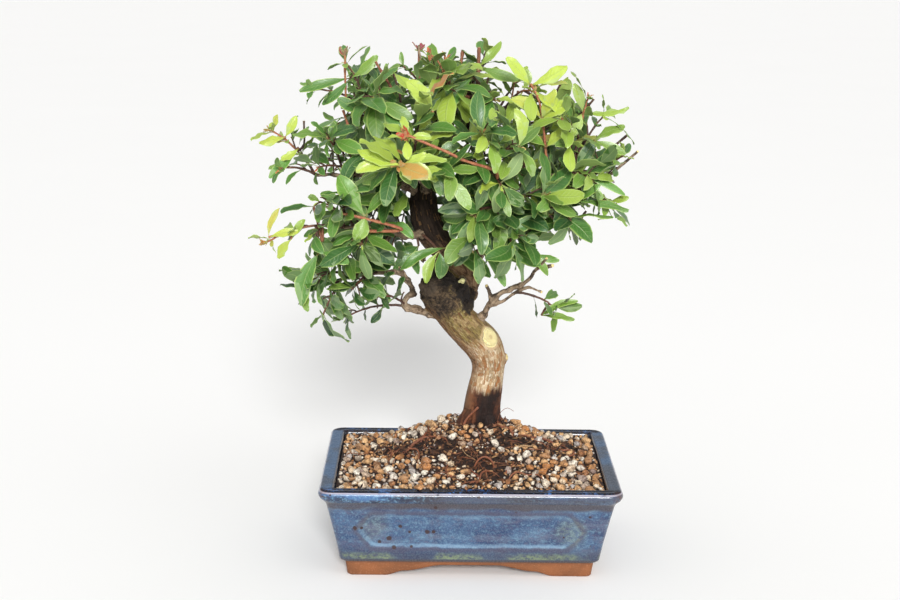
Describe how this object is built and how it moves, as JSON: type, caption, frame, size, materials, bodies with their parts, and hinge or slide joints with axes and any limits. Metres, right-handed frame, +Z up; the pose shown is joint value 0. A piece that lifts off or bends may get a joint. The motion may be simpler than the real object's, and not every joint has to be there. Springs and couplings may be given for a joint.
{
  "type": "potted bonsai tree",
  "caption": "Twisted-trunk dwarf pomegranate bonsai with small glossy leaves, standing in gritty soil in a blue-glazed rectangular pot on bracket feet.",
  "frame": {"origin": "middle of the whole object's bounding box, on the surface that the pot's feet stand on", "axes": "+Z up; +X to the right and +Y away from the viewer of the pot's long front side, as pictured"},
  "size_m": [0.2418, 0.1772, 0.3311],
  "materials": {
    "pot_glaze": "glossy mottled blue glaze over brown clay, with bare clay feet",
    "screen_plastic": "matt black mesh",
    "grit_soil": "matt tan, white and grey grit over dark compost",
    "bark": "matt pale tan bark, darker at the base and on the old cut",
    "leaf_green": "glossy dark green leaf with a paler rib",
    "leaf_young": "soft yellow-green young leaf"
  },
  "bodies": {
    "root": {"drain_screen_left": "screen_plastic", "drain_screen_right": "screen_plastic", "pot": "pot_glaze", "shoot_back_00": "leaf_green", "shoot_back_01": "leaf_green", "shoot_back_02": "leaf_green", "shoot_back_03": "leaf_green", "shoot_back_04": "leaf_green", "shoot_back_05": "leaf_green", "shoot_back_06": "leaf_green", "shoot_back_07": "leaf_green", "shoot_back_08": "leaf_green", "shoot_back_09": "leaf_green", "shoot_back_10": "leaf_green", "shoot_back_11": "leaf_green", "shoot_bright_shoot": "leaf_young", "shoot_bright_side": "leaf_young", "shoot_centre_a": "leaf_green", "shoot_centre_b": "leaf_green", "shoot_centre_c": "leaf_green", "shoot_centre_d": "leaf_green", "shoot_centre_e": "leaf_green", "shoot_centre_low_a": "leaf_green", "shoot_centre_low_b": "leaf_green", "shoot_front_bright": "leaf_young", "shoot_left_mid_front": "leaf_green", "shoot_left_mid_low": "leaf_green", "shoot_left_tip": "leaf_young", "shoot_left_tip_over": "leaf_green", "shoot_left_top_front": "leaf_green", "shoot_left_top_out": "leaf_green", "shoot_left_top_tip": "leaf_green", "shoot_left_up_in": "leaf_green", "shoot_left_up_mid": "leaf_green", "shoot_left_up_tip": "leaf_young", "shoot_left_up_under": "leaf_green", "shoot_low_left_a": "leaf_green", "shoot_low_left_b": "leaf_green", "shoot_low_left_c": "leaf_green", "shoot_low_left_d": "leaf_green", "shoot_low_left_e": "leaf_green", "shoot_low_left_f": "leaf_green", "shoot_low_right_hang": "leaf_green", "shoot_red_tip": "leaf_young", "shoot_right_mid_front": "leaf_green", "shoot_right_mid_in": "leaf_green", "shoot_right_mid_low": "leaf_green", "shoot_right_mid_tip": "leaf_green", "shoot_right_mid_under": "leaf_green", "shoot_right_out": "leaf_green", "shoot_right_top_tip": "leaf_green", "shoot_right_up_tip": "leaf_young", "shoot_rosette": "leaf_young", "shoot_top_left_tip": "leaf_green", "shoot_top_mid_front": "leaf_green", "shoot_top_mid_tip": "leaf_green", "shoot_top_right_front": "leaf_green", "shoot_top_right_tip": "leaf_green", "soil": "grit_soil", "trunk": "bark"}
  },
  "joints": []
}
